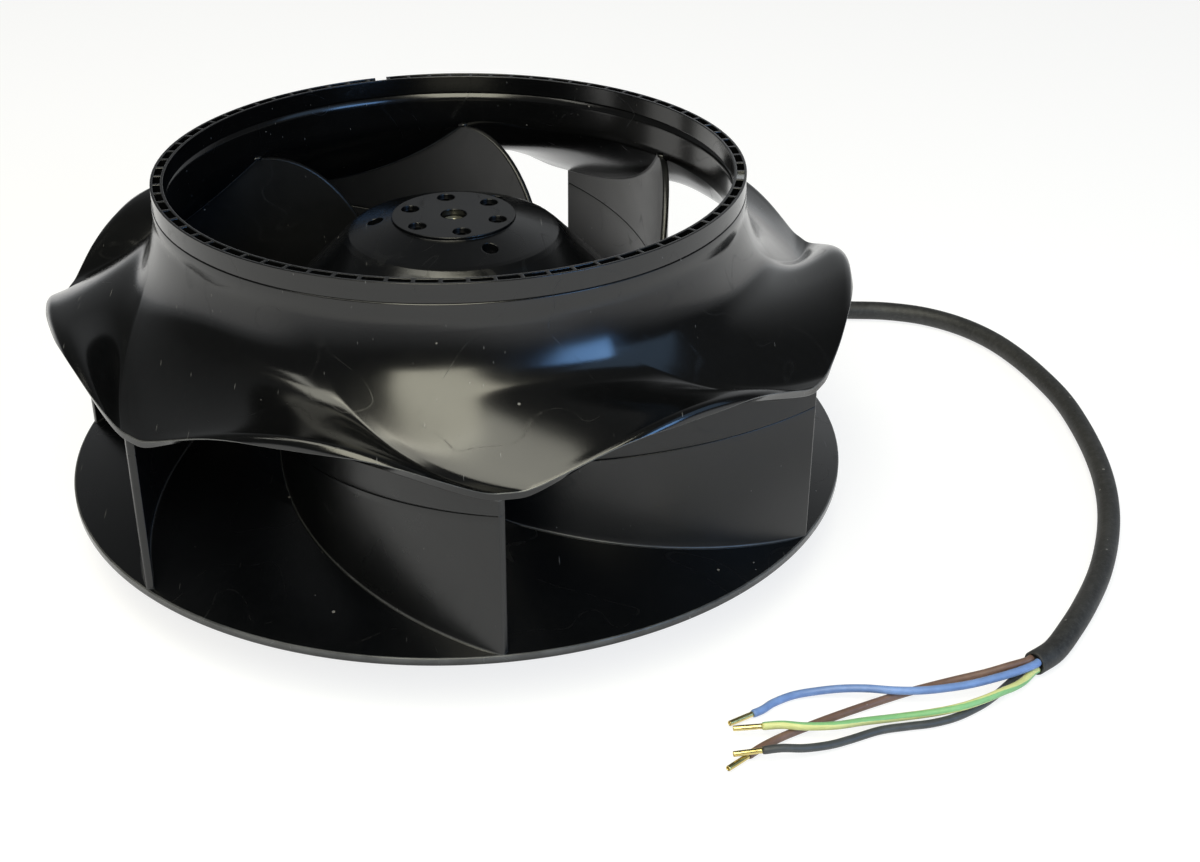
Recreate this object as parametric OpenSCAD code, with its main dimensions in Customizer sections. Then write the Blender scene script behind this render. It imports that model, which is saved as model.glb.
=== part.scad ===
// Plug fan: a backward-curved impeller on an external rotor motor, with its connecting cable.
// Millimetres, Z up. The origin is the centre of the motor's mounting face.

/* [Impeller] */
// Outside diameter of the base disc, the blades and the shroud
impeller_d = 250; // [246:1:254]
// Height of the base disc's rim above the mounting face
rim_z = 20; // [19:0.5:21]
// Outlet height between the base disc's rim and the shroud, at a blade
outlet_h = 49.4; // [48:0.2:51]
// Bore diameter of the inlet neck
eye_d = 174; // [172:1:176]
// Height of the inlet ring's top above the base disc's rim
inlet_h = 95.8; // [94.8:0.2:97.8]
// Height of the flare from the outlet up to the inlet neck, at a blade
flare_h = 28.2; // [27.2:0.2:29.2]
// Rise of the shroud's lip between two blades
lip_rise = 13.2; // [11:0.2:14.6]
// Wall thickness of the mouldings
wall = 2.2; // [2:0.1:2.5]

/* [Blades] */
// Number of blades
blade_count = 7; // [6:1:8]
// Thickness of a blade
blade_t = 2.2; // [1.8:0.1:2.6]
// Radius of a blade's curve
blade_r = 105; // [100:1:110]
// Angle between a blade's outer end and the rim
blade_exit = 26.7; // [25:0.1:29]
// Height of the weld seam above the base disc's rim, at the blade's outer end
seam_h = 44.5; // [42:0.5:45]

/* [Balance ring] */
// Height of the ring that holds the balance pockets
ring_h = 5.8; // [5:0.2:7]
// Width of the ring
ring_w = 3.8; // [3.6:0.1:4.4]
// Pockets for each blade pitch
pockets_per_blade = 11; // [9:1:12]

/* [Hub] */
// Height of the hub's face above the base disc's rim
hub_h = 79; // [77:0.5:80]
// Diameter of the raised face
hub_face_d = 38.6; // [38:0.2:41]
// Circle of the hub screws
hub_circle_d = 29; // [28:0.5:30]
// Diameter of a hub screw's head
hub_head_d = 5.4; // [5:0.1:5.8]

/* [Motor] */
// Outside diameter of the rotor cup
rotor_d = 92; // [90:1:94]
// Outside diameter of the stator stack
stator_d = 68; // [66:0.5:69]
// Length of the stator stack
stack_l = 30; // [26:1:32]
// Shaft diameter
shaft_d = 8; // [7.8:0.1:8.2]
// Outside diameter of a ball bearing
bearing_d = 22; // [21.8:0.2:22.4]
// Width of a ball bearing
bearing_w = 7; // [6.8:0.1:7.2]
// Diameter of the mounting flange
flange_d = 96; // [94:1:100]
// Thickness of the mounting flange
flange_h = 12.5; // [12:0.1:13]
// Circle of the mounting holes
mount_circle_d = 82; // [80:1:84]
// Diameter of a mounting hole
mount_hole_d = 3.3; // [3:0.1:4]

/* [Cable] */
// Diameter of the sheath
cable_d = 7.2; // [6.8:0.1:7.4]
// Diameter of a core
core_d = 2.3; // [2:0.1:2.4]
// Diameter of a ferrule
ferrule_d = 1.6; // [1.4:0.1:1.8]
// Length of a ferrule
ferrule_l = 8; // [6:0.5:9]

/* [Hidden] */
$fn = 96;

// Clearances: fixed fit, ball in its race, air gap of the motor, weld and seating gap
fit = 0.02;
race_gap = 0.05;
air_gap = 0.35;
seat_gap = 0.03;
cut = 0.1;

// Main radii and heights
rim_r = impeller_d / 2;
eye_r = eye_d / 2;
pitch = 360 / blade_count;
lead = -84.3;
outlet_z = rim_z + outlet_h;
corner_z = outlet_z + flare_h;
ring_top = rim_z + inlet_h;
neck_top = ring_top - ring_h;
neck_r = eye_r + ring_w - 0.4;
hub_z = rim_z + hub_h;
hub_face_r = hub_face_d / 2;
hub_seat_z = hub_z - 6;
hub_circle_r = hub_circle_d / 2;
vent_r = 2.5;
vent_circle_r = hub_face_r + vent_r + 2.8;
shaft_r = shaft_d / 2;
rotor_r = rotor_d / 2;
stator_r = stator_d / 2;
bearing_r = bearing_d / 2;
bell_wall = wall + 0.2;

function mix(a, b, w) = a + (b - a) * w;
function bezier(p, t) =
  p[0] * pow(1 - t, 3) + 3 * p[1] * t * pow(1 - t, 2) + 3 * p[2] * t * t * (1 - t) + p[3] * pow(t, 3);
function bezier_slope(p, t) =
  (p[1] - p[0]) * pow(1 - t, 2) + 2 * (p[2] - p[1]) * t * (1 - t) + (p[3] - p[2]) * t * t;
function unit(v) = v / norm(v);

// Blade curve: a circle through the rim point at angle zero, its centre at arc_c
arc_c = [rim_r - blade_r * cos(blade_exit), blade_r * sin(blade_exit)];
arc_off = norm(arc_c);
arc_a = atan2(arc_c[1], arc_c[0]);
function camber(r) =
  arc_a - acos((r * r + arc_off * arc_off - blade_r * blade_r) / (2 * r * arc_off));

// The blade's outer end: a flat cut from where its outside face reaches the rim
blade_out = blade_r + blade_t / 2;
tip_a =
  arc_a - acos((rim_r * rim_r - arc_off * arc_off - blade_out * blade_out) / (2 * arc_off * blade_out));
tip = arc_c + blade_out * [cos(tip_a), sin(tip_a)];
tip_tilt = 17;
blade_span = 78;
past_r = rim_r + 1;

// Weld seam: a cone that falls towards the axis
seam_fall = 0.24;
function seam_z(r) = rim_z + seam_h - seam_fall * (rim_r - r);

// Inlet edge of a blade: a quarter ellipse from the neck's corner down to edge_r
edge_r = eye_r - 20;
edge_z = rim_z + 24;
function edge_at(z) =
  let (h = (z - edge_z) / (corner_z - seat_gap - edge_z))
  eye_r - (eye_r - edge_r) * sqrt(max(0, 1 - h * h));

// Shroud, underside along a blade: a parabola from the neck's corner to the rim
lip_slope = 0.02;
knee = [(rim_r + eye_r) / 2, outlet_z + lip_slope * (rim_r - eye_r) / 2];
valley_in = [eye_r, corner_z];
valley_out = [rim_r, outlet_z];
function valley_z(r) =
  let (t = (r - eye_r) / (rim_r - eye_r))
  corner_z * pow(1 - t, 2) + 2 * knee[1] * t * (1 - t) + outlet_z * t * t;

// Control points of the underside, along a blade and on the crest between two blades
under_valley = [valley_in, mix(valley_in, knee, 2 / 3), mix(valley_out, knee, 2 / 3), valley_out];
hump_in = [6.8, -21.6];
hump_out = [-1.7, -13.2];
under_hump = [
  valley_in,
  valley_in + hump_in,
  [rim_r, corner_z] + hump_out,
  [rim_r - wall - 0.1, outlet_z + lip_rise]
];

// Wave from one blade to the next: 0 over a blade's thickness, 1 on the crest. The crest is half way
// between the blades at the rim and leans towards the next blade further in. The hollow over a blade
// is sharp at the rim and fades out towards the neck
wave_soft = 0.1;
wave_flat = 0.022;
wave_lean = 0.9;
lean_w = 13;
fade = 3.7;
fade_w = 9;
function wave(u, r) =
  let (v = min(1, max(0, (u - wave_flat) / (1 - 2 * wave_flat))))
  let (lean = wave_lean * (1 - exp((r - rim_r) / lean_w)))
  let (s = sin(180 * (v - lean * v * (1 - v))))
  let (f = wave_soft + fade * exp((eye_r - r) / fade_w))
  (sqrt(s * s + f * f) - f) / (sqrt(1 + f * f) - f);

// The shroud's top face: one wall above the underside, rounded into the neck
fillet_w = 8.6;
fillet_rise = 8.7;
fillet_h = min(fillet_rise, neck_top - corner_z - wall - 1);
shoulder_bend = 0.7;
function flare(u, t) =
  let (w = wave(u, mix(eye_r, rim_r, t)))
  let (share = [w, w, pow(w, shoulder_bend), w])
  [for (i = [0:3]) mix(under_valley[i], under_hump[i], share[i])];
function above(c, t) =
  let (v = unit(bezier_slope(c, t)))
  let (p = bezier(c, t) + wall * [-v[1], v[0]])
  let (r = min(rim_r, max(neck_r, p[0])))
  [r, p[1] + fillet_h * pow(max(0, 1 - (r - neck_r) / fillet_w), 3)];

// Grid of the shroud: steps round one pitch, closer together at a blade, and steps along the flare
steps_u = 24;
steps_t = 11;
function step_u(i) = let (x = i / steps_u) x - 0.5 * sin(360 * x) / 6.2832;
function shroud_section(u) = concat(
  [[neck_r, neck_top]],
  [for (j = [0:steps_t]) let (t = j / steps_t) above(flare(u, t), t)],
  [for (j = [0:steps_t]) let (t = 1 - j / steps_t) bezier(flare(u, t), t)],
  [[eye_r, neck_top]]
);
function turned(p, u) =
  let (a = lead + pitch * u + camber(p[0]))
  [p[0] * cos(a), p[0] * sin(a), p[1]];

// Closed skin over rings of n points each, joined end to end
function ring_faces(rings, n) = [
  for (i = [0:rings - 1])
    for (j = [0:n - 1])
      let (a = i * n, b = (i + 1) % rings * n, k = (j + 1) % n)
      each [[a + j, a + k, b + k], [a + j, b + k, b + j]]
];

// Outer profile of the hub and the base disc, from the hub's face to the rim
cone_in = [80, rim_z + 0.271 * (rim_r - 80)];
flank_out = [49, hub_z - 21];
flank_curve = [flank_out, flank_out + [9, -9], [58, cone_in[1] + 5.9], cone_in];
shoulder = [33.1, hub_z - 5];
bell_profile = concat(
  [shoulder + [-1.6, 0.46], shoulder + [-0.2, -0.05], shoulder + [1.3, -1.3]],
  [for (i = [0:12]) bezier(flank_curve, i / 12)],
  [[rim_r, rim_z]]
);

// A profile moved inwards by d, square to its own line
function inset(p, d) = [
  for (i = [0:len(p) - 1])
    let (v = unit(p[min(i + 1, len(p) - 1)] - p[max(i - 1, 0)]))
    p[i] - d * [-v[1], v[0]]
];
bell_inside = inset(bell_profile, bell_wall);
bell_outline = inset(bell_profile, -seat_gap);

// Motor heights
cap_z = 0.6;
circlip_z = 3.6;
circlip_t = 0.8;
lower_bearing_z = circlip_z + circlip_t + 0.2;
spring_z = lower_bearing_z + bearing_w;
spring_h = 2.4;
spring_stop_z = spring_z + spring_h;
stack_z = 26;
stack_top = stack_z + stack_l;
insulator_t = 1.5;
collar_h = 5;
spigot_z = stack_z - insulator_t - 2 * fit;
end_turn = 5.8;
coil_top = stack_top + insulator_t + 0.2 + end_turn;
coil_bottom = stack_z - insulator_t - 0.2 - end_turn;
tube_top = coil_top + 2.5;
tube_r = bearing_r + 2.5;
upper_bearing_z = tube_top - bearing_w;
cup_roof_z = tube_top + 2;
cup_top = cup_roof_z + 4;
cup_rim_z = flange_h + 2;
cup_wall = 3;
boss_r = hub_face_r + 0.7;
cage_ring_h = 4;
rotor_in = stator_r + air_gap;
rotor_out = rotor_r - cup_wall - fit;
bar_circle = (rotor_in + rotor_out) / 2;
bar_count = 18;
bar_r = 2.1;
shaft_bottom = 2.8;
shaft_top = hub_z - 2;

// Ball bearing
ball_r = 1.95;
ball_circle = (shaft_r + bearing_r) / 2;
ball_count = 7;
race_r = ball_r + race_gap;
race_in = ball_circle - 1.5;
race_out = ball_circle + 1.7;

// Screws and mounting
screw_r = 1.5;
screw_head_h = 2.6;
screw_depth = 3.6;
screw_l = 14;
mount_angles = [15, 105, 195, 285];
mount_depth = 9;

// Stator teeth and coils
teeth = 12;
yoke_r = tube_r + 6;
tooth_tip = 3;
slot_in = 2.1;
slot_out = 5.1;
coil_in = 3.3;
coil_out = 4.9;
coil_r0 = yoke_r + 0.9;
coil_r1 = stator_r - tooth_tip - 1.4;

// Cable gland, pointing away from the axis at gland_angle
gland_angle = 60;
gland_z = 6.5;
gland_r = 5.45;
gland_in = 34;
gland_out = 75;

// Centre line of the cable from the gland to the cut sheath, and of each core from there
cable_route = [
  [37.5, 64.95, 6.5], [46.6, 80.7, 6.5], [60, 94.5, 6], [75.5, 105, 5.2], [92, 114, 4.4],
  [109.5, 120.5, 3.9], [128, 123.5, 3.75], [144.5, 124.2, 3.75], [159, 123, 3.75], [173, 121, 3.75],
  [187, 115.5, 3.75], [199, 105.5, 3.75], [208, 92, 3.75], [214, 76, 3.75], [218, 58.5, 3.75],
  [220.5, 40, 3.75], [220.5, 20, 3.75], [219, 0, 3.75], [216, -19, 3.75], [211, -38, 3.75],
  [204, -56.5, 3.75], [195.5, -74, 3.75], [186, -89.5, 3.75], [177.5, -101.5, 3.75],
  [169.6, -111.3, 3.75], [162, -117, 3.75]
];
blue_route = [
  [162.75, -118, 5], [161.15, -119.2, 5], [156, -121.5, 4.8], [149, -123.5, 4.3], [141.5, -125.3, 3.9],
  [134, -126.6, 3.9], [126.5, -127.2, 3.9], [119, -126.6, 3.9], [111.5, -124.9, 3.7], [104.5, -123.6, 3],
  [97.5, -123, 2], [91, -123.6, 1.4], [85, -126.4, 1.3], [81.5, -129.2, 1.3], [78.4, -130.9, 1.3]
];
brown_route = [
  [161.25, -116, 5], [159.65, -117.2, 5], [154, -118.5, 4.4], [147, -119.4, 3], [139, -120.2, 1.8],
  [131, -122, 1.3], [123, -124.6, 1.3], [115, -127.7, 1.3], [107, -131, 1.3], [99, -134.5, 1.3],
  [92, -137.8, 1.3], [85, -141.3, 1.3], [79, -145, 1.3], [74.5, -148.5, 1.3]
];
black_route = [
  [161.25, -116, 2.5], [159.65, -117.2, 2.5], [156.5, -119.8, 1.8], [152.5, -123.4, 1.4],
  [147.5, -128, 1.3], [142, -132.2, 1.3], [134.4, -136.4, 1.3], [127, -138.6, 1.3], [120, -139.4, 1.3],
  [112, -140.6, 1.3], [103, -144, 1.4], [96.7, -146.6, 2], [89.6, -148.6, 3], [83.3, -149.2, 3.9],
  [78.1, -149.4, 3.6]
];
earth_route = [
  [162.75, -118, 2.5], [161.15, -119.2, 2.5], [157.5, -123, 2.5], [153.5, -126.6, 3.3], [149, -129.4, 3.9],
  [143.5, -132.2, 3.9], [136, -135.2, 3.9], [128, -135.8, 2.8], [118, -136.2, 2], [108, -138, 2.6],
  [99.8, -140.4, 3.6], [91.4, -140.6, 3.9], [85.1, -139.2, 3.7], [79.7, -138.9, 3.3]
];

function along(p, i) = unit(p[min(i + 1, len(p) - 1)] - p[max(i - 1, 0)]);
function tube_ring(p, i, r, sides) =
  let (t = along(p, i))
  let (s = unit(cross(t, [0, 0, 1])))
  let (n = cross(s, t))
  [for (k = [0:sides - 1]) p[i] + r * (cos(360 * k / sides) * s + sin(360 * k / sides) * n)];

module tube(p, d, sides) {
  points = [for (i = [0:len(p) - 1]) each tube_ring(p, i, d / 2, sides)];
  last = (len(p) - 1) * sides;
  skin = [
    for (i = [0:len(p) - 2])
      for (k = [0:sides - 1])
        let (a = i * sides + k, b = i * sides + (k + 1) % sides)
        each [[a, b, b + sides], [a, b + sides, a + sides]]
  ];
  caps = [[for (k = [0:sides - 1]) sides - 1 - k], [for (k = [0:sides - 1]) last + k]];
  polyhedron(points = points, faces = concat(skin, caps));
}

module round_blades() {
  for (k = [0:blade_count - 1])
    rotate([0, 0, lead + k * pitch])
      children();
}

module blade_band(z0, z1) {
  difference() {
    translate([arc_c[0], arc_c[1], z0])
      rotate([0, 0, tip_a - blade_span])
        rotate_extrude(angle = blade_span + 3)
          translate([blade_out - blade_t, 0])
            square([blade_t, z1 - z0]);
    translate([tip[0], tip[1], z0 - cut])
      rotate([0, 0, tip_tilt])
        translate([0, -5, 0])
          cube([10, 20, z1 - z0 + 2 * cut]);
  }
}

module lower_blade() {
  r0 = edge_r + 0.2;
  intersection() {
    blade_band(rim_z - 1, rim_z + seam_h + 1);
    rotate_extrude()
      polygon(concat(
        [[r0, seam_z(r0)], [r0, lookup(r0, bell_outline)]],
        [for (p = bell_outline) if (p[0] > r0 + 0.2 && p[0] < rim_r - 1) p],
        [[rim_r, rim_z + seat_gap], [past_r, rim_z + seat_gap], [past_r, seam_z(past_r)]]
      ));
  }
}

module upper_blade() {
  bottom = seam_z(edge_r) + seat_gap;
  top = corner_z - seat_gap;
  intersection() {
    blade_band(bottom - 1, top + 1);
    rotate_extrude()
      polygon(concat(
        [[past_r, seam_z(past_r) + seat_gap]],
        [for (i = [0:11]) let (r = mix(past_r, eye_r, i / 12)) [r, valley_z(r) - seat_gap]],
        [for (i = [0:11]) let (z = mix(bottom, top, sin(90 - 7.5 * i))) [edge_at(z), z]],
        [[edge_r + 0.2, bottom]]
      ));
  }
}

module base_wheel() {
  n = len(bell_profile);
  color("#1b1c1e")
    difference() {
      rotate_extrude()
        polygon(concat(
          [[0, hub_z], [hub_face_r, hub_z], [hub_face_r, hub_z - 1]],
          bell_profile,
          [[rim_r, rim_z - wall]],
          [for (i = [2:n - 1]) bell_inside[n - i]],
          [[boss_r + 1, hub_seat_z], [0, hub_seat_z]]
        ));
      translate([0, 0, hub_seat_z - cut])
        cylinder(r = shaft_r + 0.12, h = 10);
      for (k = [0:5])
        rotate([0, 0, 39.4 + 60 * k])
          translate([hub_circle_r, 0, 0]) {
            translate([0, 0, hub_seat_z - cut])
              cylinder(r = screw_r + 0.2, h = 10);
            translate([0, 0, hub_z - screw_depth])
              cylinder(r = hub_head_d / 2 + 0.15, h = screw_depth + cut);
          }
      for (k = [0:2])
        rotate([0, 0, 56 + 120 * k])
          translate([vent_circle_r, 0, hub_seat_z - 3])
            cylinder(r = vent_r, h = 10);
    }
}

module base_blades() {
  color("#1c1d1f")
    round_blades()
      lower_blade();
}

module shroud_blades() {
  color("#1d1e20")
    round_blades()
      upper_blade();
}

module shroud() {
  n = 2 * steps_t + 4;
  points = [
    for (k = [0:blade_count - 1])
      for (i = [0:steps_u - 1])
        let (u = step_u(i))
        each [for (p = shroud_section(u)) turned(p, k + u)]
  ];
  color("#202123")
    polyhedron(points = points, faces = ring_faces(blade_count * steps_u, n));
}

module pocket(a, r0, w, share, z0, h) {
  span = share * pocket_step;
  rotate([0, 0, a - span / 2])
    rotate_extrude(angle = span)
      translate([r0, z0])
        square([w, h]);
}

pocket_count = blade_count * pockets_per_blade;
pocket_step = 360 / pocket_count;
pocket_lead = -10.4;
pocket_w = ring_w - 1.5;
pocket_r = eye_r - 0.2 + 0.75;
pocket_depth = ring_h - 1.3;
weight_z = ring_top - pocket_depth + fit;

module balance_ring() {
  color("#232426")
    difference() {
      translate([0, 0, neck_top])
        difference() {
          cylinder(r = eye_r - 0.2 + ring_w, h = ring_h);
          translate([0, 0, -cut])
            cylinder(r = eye_r - 0.2, h = ring_h + 2 * cut);
        }
      for (k = [0:pocket_count - 1])
        pocket(pocket_lead + k * pocket_step, pocket_r, pocket_w, 0.86, ring_top - pocket_depth, ring_h);
      rotate([0, 0, 105.6])
        translate([pocket_r + pocket_w / 2, -2, ring_top - 3])
          cube([ring_w, 4, ring_h]);
    }
}

module balance_weight() {
  color("#b9bbb8")
    pocket(pocket_lead, pocket_r + fit, pocket_w - 2 * fit, 0.82, weight_z, pocket_depth - 0.6);
}

module hub_screws() {
  color("#8d8f92")
    for (k = [0:5])
      rotate([0, 0, 39.4 + 60 * k])
        translate([hub_circle_r, 0, hub_z - screw_depth + fit])
          difference() {
            union() {
              cylinder(r = hub_head_d / 2, h = screw_head_h);
              translate([0, 0, -screw_l])
                cylinder(r = screw_r, h = screw_l + cut);
            }
            translate([0, 0, screw_head_h - 1.4])
              cylinder(r = 1.45, h = 2, $fn = 6);
          }
}

module rotor_cup() {
  color("#a9abad")
    difference() {
      rotate_extrude()
        polygon([
          [shaft_r + fit / 2, tube_top + fit],
          [race_in, tube_top + fit],
          [race_in, cup_roof_z],
          [rotor_r - cup_wall, cup_roof_z],
          [rotor_r - cup_wall, cup_rim_z],
          [rotor_r, cup_rim_z],
          [rotor_r, cup_top - 3],
          [rotor_r - 3, cup_top],
          [boss_r + 2, cup_top],
          [boss_r, cup_top + 2],
          [boss_r, hub_seat_z - fit],
          [shaft_r + fit / 2, hub_seat_z - fit]
        ]);
      for (k = [0:5])
        rotate([0, 0, 39.4 + 60 * k])
          translate([hub_circle_r, 0, hub_seat_z - screw_l])
            cylinder(r = screw_r + fit, h = screw_l + cut);
      for (k = [0:2])
        rotate([0, 0, 116 + 120 * k])
          translate([31, 0, cup_roof_z - cut])
            cylinder(r = 4, h = 4 + 2 * cut);
    }
}

module rotor_core() {
  color("#77797c")
    translate([0, 0, stack_z])
      difference() {
        cylinder(r = rotor_out, h = stack_l);
        translate([0, 0, -cut])
          cylinder(r = rotor_in, h = stack_l + 2 * cut);
        for (k = [0:bar_count - 1])
          rotate([0, 0, k * 360 / bar_count])
            translate([bar_circle, 0, -cut])
              cylinder(r = bar_r + fit, h = stack_l + 2 * cut);
      }
}

module cage_ring(z) {
  translate([0, 0, z])
    difference() {
      cylinder(r = rotor_out - 0.6, h = cage_ring_h);
      translate([0, 0, -cut])
        cylinder(r = rotor_in + 1, h = cage_ring_h + 2 * cut);
    }
}

module squirrel_cage() {
  color("#c4c6c8") {
    cage_ring(stack_z - cage_ring_h - fit);
    cage_ring(stack_top + fit);
    for (k = [0:bar_count - 1])
      rotate([0, 0, k * 360 / bar_count])
        translate([bar_circle, 0, stack_z - 1])
          cylinder(r = bar_r, h = stack_l + 2);
  }
}

module shaft() {
  color("#9a9a86")
    difference() {
      rotate_extrude()
        polygon([
          [0, shaft_bottom],
          [shaft_r - 0.5, shaft_bottom],
          [shaft_r, shaft_bottom + 0.5],
          [shaft_r, shaft_top - 0.6],
          [shaft_r - 0.6, shaft_top],
          [0, shaft_top]
        ]);
      translate([0, 0, circlip_z - fit])
        difference() {
          cylinder(r = shaft_r + 1, h = circlip_t + 2 * fit);
          translate([0, 0, -cut])
            cylinder(r = shaft_r - 0.4, h = circlip_t + 1);
        }
      translate([0, 0, shaft_top - 1.5])
        cylinder(r1 = 0.4, r2 = 1.4, h = 1.6);
    }
}

module shaft_circlip() {
  color("#55575a")
    translate([0, 0, circlip_z])
      difference() {
        cylinder(r = race_in - 0.4, h = circlip_t);
        translate([0, 0, -cut])
          cylinder(r = shaft_r - 0.4 + fit, h = circlip_t + 2 * cut);
        translate([0, -1.2, -cut])
          cube([10, 2.4, circlip_t + 2 * cut]);
      }
}

module race(z, r0, r1) {
  translate([0, 0, z])
    rotate_extrude()
      difference() {
        translate([r0, 0])
          square([r1 - r0, bearing_w]);
        translate([ball_circle, bearing_w / 2])
          circle(r = race_r);
      }
}

module balls(z) {
  for (k = [0:ball_count - 1])
    rotate([0, 0, k * 360 / ball_count])
      translate([ball_circle, 0, z + bearing_w / 2])
        sphere(r = ball_r);
}

module ball_cage(z) {
  difference() {
    translate([0, 0, z + bearing_w / 2 - 2.6])
      difference() {
        cylinder(r = ball_circle + 0.8, h = 5.2);
        translate([0, 0, -cut])
          cylinder(r = ball_circle - 0.8, h = 5.4);
      }
    for (k = [0:ball_count - 1])
      rotate([0, 0, k * 360 / ball_count])
        translate([ball_circle, 0, z + bearing_w / 2])
          sphere(r = race_r);
  }
}

module upper_bearing_inner() {
  color("#b5b7ba")
    race(upper_bearing_z, shaft_r + fit / 2, race_in);
}

module upper_bearing_balls() {
  color("#d0d2d4")
    balls(upper_bearing_z);
}

module upper_bearing_cage() {
  color("#8a7a4a")
    ball_cage(upper_bearing_z);
}

module upper_bearing_outer() {
  color("#b5b7ba")
    race(upper_bearing_z, race_out, bearing_r);
}

module lower_bearing_inner() {
  color("#b5b7ba")
    race(lower_bearing_z, shaft_r + fit / 2, race_in);
}

module lower_bearing_balls() {
  color("#d0d2d4")
    balls(lower_bearing_z);
}

module lower_bearing_cage() {
  color("#8a7a4a")
    ball_cage(lower_bearing_z);
}

module lower_bearing_outer() {
  color("#b5b7ba")
    race(lower_bearing_z, race_out, bearing_r);
}

module preload_spring() {
  t = 0.4;
  r0 = race_out + 0.2;
  r1 = bearing_r - 0.2;
  steps = 60;
  rise = (spring_h - t) / 2 - fit;
  strip = [[r0, t / 2], [r1, t / 2], [r1, -t / 2], [r0, -t / 2]];
  points = [
    for (i = [0:steps - 1])
      let (a = 360 * i / steps, z = spring_z + spring_h / 2 + rise * cos(3 * a))
      each [for (q = strip) [q[0] * cos(a), q[0] * sin(a), z + q[1]]]
  ];
  color("#6d7074")
    polyhedron(points = points, faces = ring_faces(steps, 4));
}

module bearing_cap() {
  r = bearing_r - fit;
  color("#6a6c6e")
    rotate_extrude()
      polygon([
        [0, cap_z],
        [r, cap_z],
        [r, cap_z + 1.8],
        [r - 0.8, cap_z + 1.8],
        [r - 0.8, cap_z + 0.8],
        [0, cap_z + 0.8]
      ]);
}

module stator_flange() {
  r = flange_d / 2;
  color("#b0b2b3")
    difference() {
      rotate_extrude()
        polygon([
          [bearing_r, 0], [r - 0.8, 0], [r, 0.8], [r, flange_h - 2], [r - 2, flange_h],
          [gland_in + 1, flange_h], [gland_in - 1, 6], [tube_r + 3, 6], [tube_r + 3, flange_h],
          [yoke_r - 1.5, spigot_z], [tube_r + 0.4, spigot_z],
          [tube_r, spigot_z + 0.4], [tube_r, tube_top - 0.6], [tube_r - 0.6, tube_top],
          [bearing_r + fit / 2, tube_top], [bearing_r + fit / 2, upper_bearing_z],
          [bearing_r - 1.5, upper_bearing_z], [bearing_r - 1.5, spring_stop_z],
          [bearing_r + fit / 2, spring_stop_z], [bearing_r + fit / 2, 0.5]
        ]);
      for (a = mount_angles)
        rotate([0, 0, a])
          translate([mount_circle_d / 2, 0, -cut])
            cylinder(d = mount_hole_d, h = mount_depth + cut);
      rotate([0, 0, gland_angle])
        translate([gland_in - 3, 0, gland_z])
          rotate([0, 90, 0])
            cylinder(r = gland_r + fit, h = r);
      rotate([0, 0, 150])
        translate([26, 0, 2])
          cylinder(r = 1.65 + fit, h = 10);
    }
}

module round_slots() {
  for (k = [0:teeth - 1])
    rotate(360 / teeth * (k + 0.5))
      children();
}

module slot() {
  polygon([
    [yoke_r, -slot_in],
    [stator_r - tooth_tip, -slot_out],
    [stator_r - tooth_tip, slot_out],
    [yoke_r, slot_in]
  ]);
}

module stator_core() {
  color("#85878a")
    translate([0, 0, stack_z])
      linear_extrude(height = stack_l)
        difference() {
          circle(r = stator_r);
          circle(r = tube_r + fit);
          round_slots()
            slot();
          round_slots()
            translate([stator_r - tooth_tip - 1, -1.3])
              square([6, 2.6]);
        }
}

module insulator(z, collar_z) {
  difference() {
    union() {
      translate([0, 0, z])
        linear_extrude(height = insulator_t)
          difference() {
            circle(r = stator_r - tooth_tip - 0.5);
            round_slots()
              slot();
          }
      translate([0, 0, collar_z])
        cylinder(r = coil_r0 - 0.3, h = collar_h);
    }
    translate([0, 0, z - 6])
      cylinder(r = tube_r + 0.6, h = 20);
  }
}

module upper_insulator() {
  color("#d8d3c4")
    insulator(stack_top + fit, stack_top + fit);
}

module lower_insulator() {
  color("#d8d3c4")
    difference() {
      insulator(stack_z - insulator_t - fit, stack_z - collar_h - fit);
      translate([0, 0, stack_z - 2 * collar_h])
        cylinder(r1 = yoke_r + 1, r2 = yoke_r - 1.2, h = 2 * collar_h - insulator_t - fit);
    }
}

module windings() {
  mid = (coil_top + coil_bottom) / 2;
  half_out = (coil_top - coil_bottom) / 2;
  half_in = half_out - end_turn;
  color("#b0643a")
    for (k = [0:teeth - 1])
      rotate([0, 0, k * 360 / teeth])
        translate([(coil_r0 + coil_r1) / 2, 0, mid])
          difference() {
            cube([coil_r1 - coil_r0, 2 * coil_out, 2 * half_out], center = true);
            cube([coil_r1 - coil_r0 + 1, 2 * coil_in, 2 * half_in], center = true);
          }
}

module thermal_cutout() {
  color("#e2ded2")
    rotate([0, 0, 30])
      translate([coil_r0 + 1, -6, coil_top + fit])
        cube([7, 12, 2.2]);
}

module earth_screw() {
  color("#b7a55a")
    rotate([0, 0, 150])
      translate([26, 0, 2.5])
        union() {
          cylinder(r = 1.65, h = 4);
          translate([0, 0, 3.5 + fit])
            cylinder(r = 3.5, h = 2.6);
        }
}

module cable_gland() {
  r = flange_d / 2;
  ribs = [
    for (i = [0:3])
      let (y = r + 7 + 4 * i, w = 5.8 - 0.2 * i)
      each [[w, y], [4.9, y], [4.9, y + 2], [w - 0.1, y + 2]]
  ];
  color("#18191a")
    rotate([0, 0, gland_angle])
      translate([0, 0, gland_z])
        rotate([0, 90, 0])
          rotate_extrude()
            polygon(concat(
              [[0, gland_in], [gland_r, gland_in], [gland_r, r + fit]],
              [[6.3, r + fit], [6.3, r + 3], [5.9, r + 3]],
              ribs,
              [[4.8, gland_out], [0, gland_out]]
            ));
}

module cable() {
  color("#333436")
    tube(cable_route, cable_d, 10);
}

module blue_wire() {
  color("#5f86c8")
    tube(blue_route, core_d, 8);
}

module brown_wire() {
  color("#6d4a3c")
    tube(brown_route, core_d, 8);
}

module black_wire() {
  color("#2c2d2f")
    tube(black_route, core_d, 8);
}

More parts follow.
